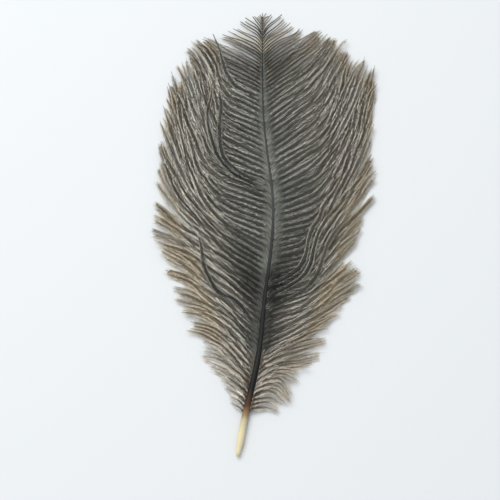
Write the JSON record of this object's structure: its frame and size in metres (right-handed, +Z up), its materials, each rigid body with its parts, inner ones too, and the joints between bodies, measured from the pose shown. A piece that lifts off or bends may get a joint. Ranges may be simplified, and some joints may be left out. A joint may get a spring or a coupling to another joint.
{
  "type": "ostrich feather",
  "caption": "Grey-brown ostrich feather lying flat: a bowed tapering shaft with two broad loose vanes of long barbs and downy tufts at the quill.",
  "frame": {"origin": "on the surface the feather lies on, under the middle of its box", "axes": "+Y from the quill's end to the feather's tip, +Z up out of the side that shows, +X to the right of the shaft seen from above"},
  "size_m": [0.0774, 0.169, 0.0036],
  "materials": {
    "keratin": "satin horn, near black along the vanes, brown then ivory at the quill's end",
    "barbs": "soft matt barbs, dark grey with paler grey barbules and brown to beige tips",
    "down": "loose matt down, grey-brown to beige"
  },
  "bodies": {
    "root": {"shaft": "keratin", "vane_left": "barbs", "vane_right": "barbs", "down_left": "down", "down_right": "down"}
  },
  "joints": []
}
